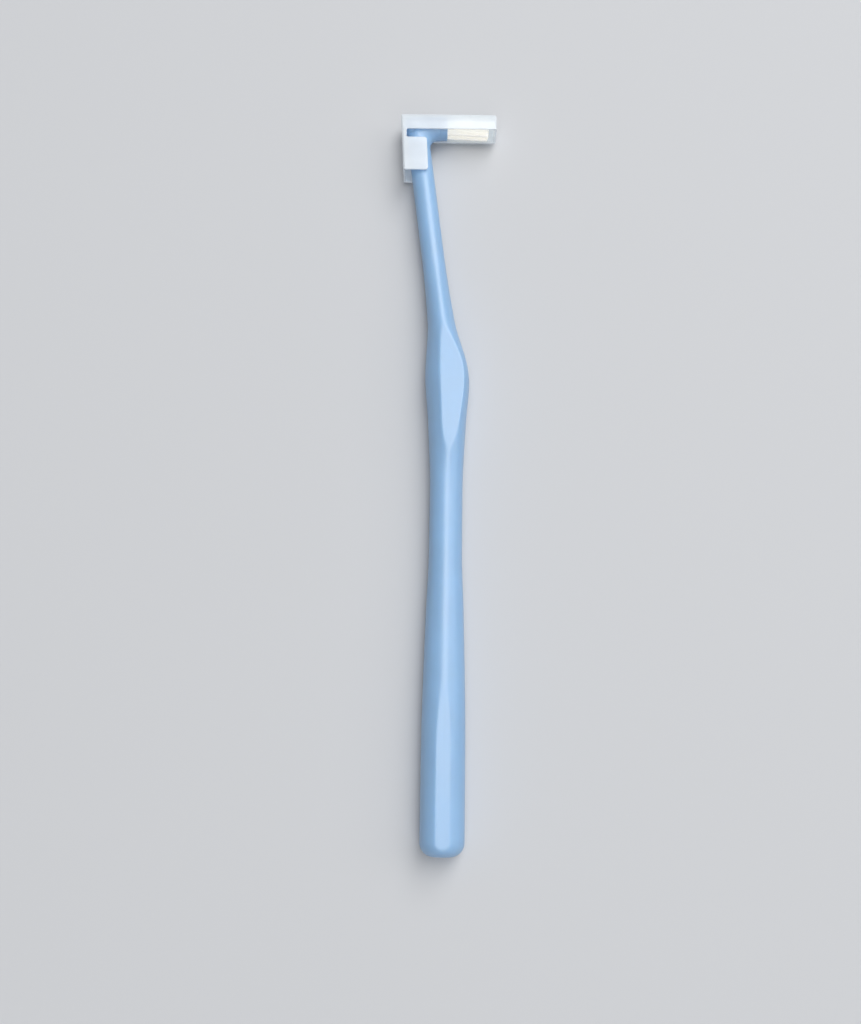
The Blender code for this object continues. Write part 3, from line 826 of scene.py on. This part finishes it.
def arc(radius, height, fillet, start, end, steps):
    """Profile points on a fillet centred at (radius, height), between angles in degrees."""
    angles = [math.radians(start + (end - start) * i / steps) for i in range(steps + 1)]
    return [(radius + fillet * math.cos(a), height + fillet * math.sin(a)) for a in angles]


def circle(radius, height, centre, steps):
    """A ring of points about local Z."""
    ring = []
    for angle in [2 * math.pi * i / steps for i in range(steps)]:
        x = centre[0] + radius * math.cos(angle)
        y = centre[1] + radius * math.sin(angle)
        ring.append(Vector((x, y, height)))
    return ring


def barrel_rings(joint):
    """Rings along the head's barrel, on the face's own axes, from the face to the domed back."""
    profile = arc(
        COLLAR_RADIUS - COLLAR_ROUND, -COLLAR_ROUND, COLLAR_ROUND,
        start=90, end=0, steps=ROUND_STEPS,
    )
    profile += [(COLLAR_RADIUS, -COLLAR_LENGTH)]
    profile += arc(
        HEAD_RADIUS - COLLAR_STEP, -COLLAR_LENGTH - 2 * COLLAR_STEP, COLLAR_STEP,
        start=COLLAR_FOOT_TURN, end=0, steps=COLLAR_FOOT_STEPS,
    )
    profile += arc(
        HEAD_RADIUS - HEAD_BACK_ROUND, HEAD_BACK_ROUND - HEAD_LENGTH, HEAD_BACK_ROUND,
        start=0, end=-90, steps=2 * ROUND_STEPS,
    )
    rings = []
    for radius, height in profile:
        ring = []
        for angle in ring_angles():
            reach = radius + joint_rise(angle, joint)
            ring.append(Vector((reach * math.cos(angle), reach * math.sin(angle), height)))
        rings.append(ring)
    return rings


def hole_centres():
    """Centres of the tuft holes on the head's face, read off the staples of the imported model."""
    to_face = FACE_MATRIX.inverted()
    return [(to_face @ ((low + high) / 2)).to_2d() for low, high in STAPLE_BOXES]


def staple_size():
    """Half the staple's width and thickness, and the heights of its foot and its top."""
    to_face = FACE_MATRIX.inverted()
    low, high = (to_face @ corner for corner in STAPLE_BOXES[0])
    return (high.x - low.x) / 2, (high.y - low.y) / 2, low.z, high.z


def add_box(shape, low, high):
    """Add a box between two corners to a bmesh."""
    corners = bmesh.ops.create_cube(shape, size=1.0)["verts"]
    bmesh.ops.scale(shape, vec=Vector(high) - Vector(low), verts=corners)
    bmesh.ops.translate(shape, vec=(Vector(high) + Vector(low)) / 2, verts=corners)


def slot_tool(name, centres, top):
    """Boxes round the staples, from under their feet up to a height on the head's face."""
    half_width, half_thickness, foot = staple_size()[:3]
    shape = bmesh.new()
    for x, y in centres:
        low = (x - half_width - SLOT_ROOM, y - half_thickness - SLOT_ROOM, foot - SLOT_ROOM)
        add_box(shape, low, (x + half_width + SLOT_ROOM, y + half_thickness + SLOT_ROOM, top))
    return new_item(name, finished_mesh(name, shape), FACE_MATRIX)


def hole_tool():
    """Straight blind holes with a slight chamfer at the face."""
    wide = HOLE_RADIUS + HOLE_CHAMFER
    profile = [
        (HOLE_RADIUS, -HOLE_DEPTH), (HOLE_RADIUS, -HOLE_CHAMFER), (wide, 0.0), (wide, OVERCUT),
    ]
    shape = bmesh.new()
    for centre in hole_centres():
        loft(shape, [circle(radius, height, centre, HOLE_STEPS) for radius, height in profile])
    return new_item("holes", finished_mesh("holes", shape), FACE_MATRIX)


def strand_places():
    """Places of the strands in one tuft: one in the middle, then rings that grow evenly."""
    places = [Vector((0.0, 0.0, 0.0))]
    for ring in range(1, STRAND_RINGS + 1):
        count = STRANDS_PER_RING * ring
        for i in range(count):
            angle = 2 * math.pi * (i + ring / 2) / count
            places.append(Vector((math.cos(angle), math.sin(angle), 0.0)) * ring * STRAND_PITCH)
    return places


def trim_height(distance, bundle):
    """Height of the trimmed tips above the face, rounded off at the bundle's edge."""
    past = max(distance - (bundle - TRIM_ROUND), 0.0) / TRIM_ROUND
    return BRISTLE_LENGTH - TRIM_DROP * (1 - math.sqrt(max(1 - past ** 2, 0.0)))


def add_strand(shape, foot, tip, bow, radius, sides):
    """A strand that bows slightly on its way up and ends in a rounded tip."""
    rings = []
    for i in range(STRAND_STEPS + 1):
        t = i / STRAND_STEPS
        middle = foot.lerp(tip, t) + bow * (t * t - t)
        if i == STRAND_STEPS:
            middle.z -= radius
        rings.append(circle(radius, middle.z, middle, sides))
    top = rings[-1][0].z
    for i in range(1, TIP_STEPS):
        turn = QUARTER * i / TIP_STEPS
        rings.append(circle(radius * math.cos(turn), top + radius * math.sin(turn), tip, sides))
    rings.append(circle(radius * TIP_SHARE, top + radius, tip, sides))
    loft(shape, rings)


def tuft_item(number, centre, windows, settings, chance):
    """One tuft: a packed root folded under its staple, and the strands that stand on it."""
    bottom = ROOT_FIT - HOLE_DEPTH
    profile = [(ROOT_RADIUS, -ROOT_RECESS)]
    profile += arc(
        ROOT_RADIUS - ROOT_ROUND, bottom + ROOT_ROUND, ROOT_ROUND,
        start=0, end=-90, steps=ROOT_STEPS,
    )
    rings = [circle(radius, height, centre, HOLE_STEPS) for radius, height in profile]
    root = modelled(lofted(f"bristles_{number}", rings, FACE_MATRIX), [("DIFFERENCE", windows)])
    shape = bmesh.new()
    shape.from_mesh(root.data)
    radius = settings.strand_diameter / 2
    pitch = min((other - centre).length for other in hole_centres() if other != centre)
    spread = 1 + TUFT_LEAN / pitch
    tip_radius = (pitch * spread - TUFT_TIP_GAP) / 2
    tuft_spread = (tip_radius - radius) / (STRAND_RINGS * STRAND_PITCH)
    middle = Vector((*centre, 0.0))
    for place in strand_places():
        foot = middle + place
        stray = Vector((chance.uniform(-1, 1), chance.uniform(-1, 1), 0.0)) * settings.wander
        tip = middle * spread + place * tuft_spread
        tip.z = trim_height(tip.length, pitch * spread + tip_radius)
        foot.z = -ROOT_RECESS - ROOT_GRIP
        bow = Vector((chance.uniform(-1, 1), chance.uniform(-1, 1), 0.0)) * settings.wander
        add_strand(shape, foot, tip + stray, bow, radius, settings.strand_sides)
    root.data = finished_mesh(root.data.name, shape)
    return root


def rounded_outline(corners):
    """Points of an outline whose corners, (x, y, radius) in turning order, become arcs."""
    points = []
    for i, (x, y, radius) in enumerate(corners):
        corner = Vector((x, y))
        if not radius:
            points.append(corner)
            continue
        back = (Vector(corners[i - 1][:2]) - corner).normalized()
        ahead = (Vector(corners[(i + 1) % len(corners)][:2]) - corner).normalized()
        half_angle = back.angle(ahead) / 2
        centre = corner + (back + ahead).normalized() * radius / math.sin(half_angle)
        spoke = corner + back * radius / math.tan(half_angle) - centre
        turn = math.copysign(math.pi - 2 * half_angle, ahead.cross(back))
        for step in range(ROUND_STEPS + 1):
            points.append(centre + Matrix.Rotation(turn * step / ROUND_STEPS, 2) @ spoke)
    return points


def cap_back(place):
    """X of the cap's leaning back wall, outside, at a place along the brush."""
    at_head = HEAD_BACK - CAP_BACK_FIT - CAP_WALL
    return at_head - math.tan(CAP_LEAN) * (place - HEAD_AT)


def mouth_outline():
    """Outline of what is cut off the hood: below the arm, round the skirt and into the notch."""
    bottom = CAP_SKIRT_BOTTOM - 3 * OVERCUT
    behind = cap_back(bottom) - OVERCUT
    ahead = CAP_END + OVERCUT
    notch_back = cap_back(CAP_ARM_BOTTOM) + CAP_NOTCH_WEB
    return rounded_outline([
        (behind, CAP_SKIRT_BOTTOM, 0),
        (behind, bottom, 0),
        (ahead, bottom, 0),
        (ahead, CAP_ARM_BOTTOM, 0),
        (notch_back, CAP_ARM_BOTTOM, CAP_NOTCH_CORNER),
        (notch_back, CAP_SKIRT_TOP, CAP_NOTCH_CORNER),
        (cap_back(CAP_SKIRT_TOP) + CAP_SKIRT_LENGTH, CAP_SKIRT_TOP, CAP_MOUTH_CORNER),
        (cap_back(CAP_SKIRT_BOTTOM) + CAP_SKIRT_LENGTH, CAP_SKIRT_BOTTOM, CAP_MOUTH_CORNER),
    ])


def hood_section(radius, bottom):
    """Points of the hood's section, (y, z): half round above the head's axis, straight below it."""
    angles = [math.pi * (i / HALF_ROUND_STEPS - 0.5) for i in range(HALF_ROUND_STEPS + 1)]
    section = [(HEAD_AT + radius * math.cos(a), radius * math.sin(a)) for a in angles]
    return section + [(bottom, radius), (bottom, -radius)]


def hood_solid(name, inset, edge_round):
    """The hood as one solid run out past its mouth, or its hollow when inset by the wall.

    It is lofted along X from the leaning back wall to the end wall, with a round at both ends.
    """
    bottom = CAP_SKIRT_BOTTOM - OVERCUT - inset
    back = []
    front = []
    for turn in [QUARTER * i / EDGE_STEPS for i in range(EDGE_STEPS + 1)]:
        section = hood_section(CAP_RADIUS - inset - edge_round * (1 - math.sin(turn)), bottom)
        depth = inset + edge_round * (1 - math.cos(turn))
        back.append([Vector((cap_back(y) + depth / math.cos(CAP_LEAN), y, z)) for y, z in section])
        front.append([Vector((CAP_END - depth, y, z)) for y, z in section])
    return lofted(name, back + front[::-1], BRUSH_MATRIX)


def mouth_tool():
    """What is cut off the hood, as wide as the hood and more."""
    shape = bmesh.new()
    reach = CAP_RADIUS + OVERCUT
    loft(shape, [[Vector((*point, z)) for point in mouth_outline()] for z in (-reach, reach)])
    return new_item("mouth", finished_mesh("mouth", shape), BRUSH_MATRIX)


def soften_rims(item):
    """Round the sharp rims slightly and keep the large faces flat in the light."""
    rims = item.modifiers.new("round rims", "BEVEL")
    rims.width = CAP_RIM_ROUND
    rims.segments = RIM_STEPS
    rims.limit_method = "ANGLE"
    rims.angle_limit = RIM_ANGLE
    normals = item.modifiers.new("even normals", "WEIGHTED_NORMAL")
    normals.keep_sharp = True
    modelled(item, [])


def add_floor(settings):
    """The pale floor that the brush lies on."""
    shape = bmesh.new()
    bmesh.ops.create_grid(
        shape, x_segments=FLOOR_CELLS, y_segments=FLOOR_CELLS, size=FLOOR_SIZE / 2,
    )
    floor = new_item("floor", finished_mesh("floor", shape), Matrix.Identity(4))
    floor.data.materials.append(floor_paint(settings))


def add_softbox(name, location, size, power):
    """An area light of a width and a length that faces the middle of the brush."""
    lamp = bpy.data.lights.new(name, "AREA")
    lamp.shape = "RECTANGLE"
    lamp.size, lamp.size_y = size
    lamp.energy = power
    item = bpy.data.objects.new(name, lamp)
    bpy.context.scene.collection.objects.link(item)
    item.location = location
    item.rotation_euler = (-Vector(location)).to_track_quat("-Z", "Y").to_euler()
    item.visible_camera = False


def light_world(scene, settings):
    """Even soft light from all round, behind a pale backdrop that the camera sees."""
    scene.world = bpy.data.worlds.new("studio")
    scene.world.use_nodes = True
    studio = NodeTree(scene.world.node_tree, "Background", "World Output")
    studio.feed(studio.shader, {"Color": WORLD_COLOUR, "Strength": settings.world_light})
    backdrop = studio.node("ShaderNodeBackground", values={"Color": BACKDROP_COLOUR})
    studio.show(studio.seen(), backdrop)


def add_camera(scene, settings):
    """The camera stands over the butt end and looks down and up the brush."""
    camera = bpy.data.cameras.new("camera")
    camera.sensor_width = SENSOR_WIDTH
    camera.lens = settings.lens
    item = bpy.data.objects.new("camera", camera)
    scene.collection.objects.link(item)
    turn = Matrix.Rotation(settings.lean, 4, "Z") @ Matrix.Rotation(settings.tilt, 4, "X")
    back = turn @ Vector((0.0, 0.0, settings.distance))
    item.matrix_world = Matrix.Translation(BRUSH_ORIGIN + AIM + back) @ turn
    scene.camera = item


class TOOTHBRUSH_OT_handle(bpy.types.Operator):
    """Add the handle: one blue moulding with its neck and its bored head"""

    bl_idname = "toothbrush.handle"
    bl_label = "Add handle"

    def execute(self, context):
        settings = context.scene.toothbrush.handle
        handle = lofted("blue_handle", handle_rings(settings.joint_height), BRUSH_MATRIX)
        barrel = lofted("barrel", barrel_rings(settings.joint_height), FACE_MATRIX)
        slots = slot_tool("slots", hole_centres(), OVERCUT)
        modelled(handle, [("UNION", barrel), ("DIFFERENCE", slots), ("DIFFERENCE", hole_tool())])
        dress(handle, handle_plastic(settings), "handle", "brush")
        return {"FINISHED"}


class TOOTHBRUSH_OT_bristles(bpy.types.Operator):
    """Add the seven tufts of bristles that stand in the head"""

    bl_idname = "toothbrush.bristles"
    bl_label = "Add bristles"

    def execute(self, context):
        settings = context.scene.toothbrush.bristles
        chance = random.Random(settings.seed)
        nylon = bristle_nylon(settings)
        staple_top = staple_size()[3]
        for number, centre in enumerate(hole_centres(), start=1):
            windows = slot_tool("window", [centre], staple_top + SLOT_ROOM)
            tuft = tuft_item(number, centre, windows, settings, chance)
            dress(tuft, nylon, f"tuft_{number}", "brush")
        return {"FINISHED"}


class TOOTHBRUSH_OT_staples(bpy.types.Operator):
    """Add the flat wire staples that hold the folded tufts"""

    bl_idname = "toothbrush.staples"
    bl_label = "Add staples"

    def execute(self, context):
        settings = context.scene.toothbrush.staples
        wire = staple_wire(settings)
        half_width, half_thickness, foot, top = staple_size()
        for number, (x, y) in enumerate(hole_centres(), start=1):
            shape = bmesh.new()
            low = (x - half_width, y - half_thickness, foot)
            add_box(shape, low, (x + half_width, y + half_thickness, top))
            bmesh.ops.bevel(
                shape, geom=shape.edges[:], offset=settings.edge, segments=RIM_STEPS,
                profile=ROUND_PROFILE, affect="EDGES", clamp_overlap=True,
            )
            staple = new_item(f"staple_{number}", finished_mesh("staple", shape), FACE_MATRIX)
            dress(staple, wire, f"anchor_{number}", "brush")
        return {"FINISHED"}


class TOOTHBRUSH_OT_cap(bpy.types.Operator):
    """Add the milky clear hood cap over the head and the bristles"""

    bl_idname = "toothbrush.cap"
    bl_label = "Add cap"

    def execute(self, context):
        settings = context.scene.toothbrush.cap
        cap = hood_solid("hood_cap", 0.0, CAP_EDGE_ROUND)
        hollow = hood_solid("hollow", CAP_WALL, CAP_INNER_ROUND)
        modelled(cap, [("DIFFERENCE", hollow), ("DIFFERENCE", mouth_tool())])
        soften_rims(cap)
        dress(cap, cap_plastic(settings), "cap", "cap")
        return {"FINISHED"}


class TOOTHBRUSH_OT_stage(bpy.types.Operator):
    """Add the pale floor, the soft lights and the camera"""

    bl_idname = "toothbrush.stage"
    bl_label = "Add stage"

    def execute(self, context):
        settings = context.scene.toothbrush.stage
        add_floor(settings)
        add_softbox("key_softbox", KEY_LOCATION, (KEY_WIDTH, KEY_LENGTH), settings.key_power)
        add_softbox("fill_softbox", FILL_LOCATION, (FILL_SIZE, FILL_SIZE), settings.fill_power)
        add_softbox("side_softbox", SIDE_LOCATION, (SIDE_SIZE, SIDE_SIZE), settings.side_power)
        light_world(context.scene, settings)
        add_camera(context.scene, settings)
        context.scene.view_settings.view_transform = "Standard"
        return {"FINISHED"}


class TOOTHBRUSH_PT_panel(bpy.types.Panel):
    """Lists the pieces of the brush and their settings"""

    bl_label = "Toothbrush"
    bl_idname = "TOOTHBRUSH_PT_panel"
    bl_space_type = "VIEW_3D"
    bl_region_type = "UI"
    bl_category = "Toothbrush"

    def draw(self, context):
        settings = context.scene.toothbrush
        for name, operator in OPERATORS.items():
            box = self.layout.box()
            group = getattr(settings, name)
            for key in group.__annotations__:
                box.prop(group, key)
            box.operator(operator.bl_idname)


OPERATORS = {
    "handle": TOOTHBRUSH_OT_handle,
    "bristles": TOOTHBRUSH_OT_bristles,
    "staples": TOOTHBRUSH_OT_staples,
    "cap": TOOTHBRUSH_OT_cap,
    "stage": TOOTHBRUSH_OT_stage,
}
CLASSES = (
    HandleSettings, BristleSettings, StapleSettings, CapSettings, StageSettings,
    ToothbrushSettings, *OPERATORS.values(), TOOTHBRUSH_PT_panel,
)


def register():
    for made in CLASSES:
        bpy.utils.register_class(made)
    bpy.types.Scene.toothbrush = PointerProperty(type=ToothbrushSettings)


def unregister():
    del bpy.types.Scene.toothbrush
    for made in reversed(CLASSES):
        bpy.utils.unregister_class(made)


def main():
    register()
    bpy.ops.toothbrush.handle()
    bpy.ops.toothbrush.bristles()
    bpy.ops.toothbrush.staples()
    bpy.ops.toothbrush.cap()
    bpy.ops.toothbrush.stage()


if __name__ == "__main__":
    main()
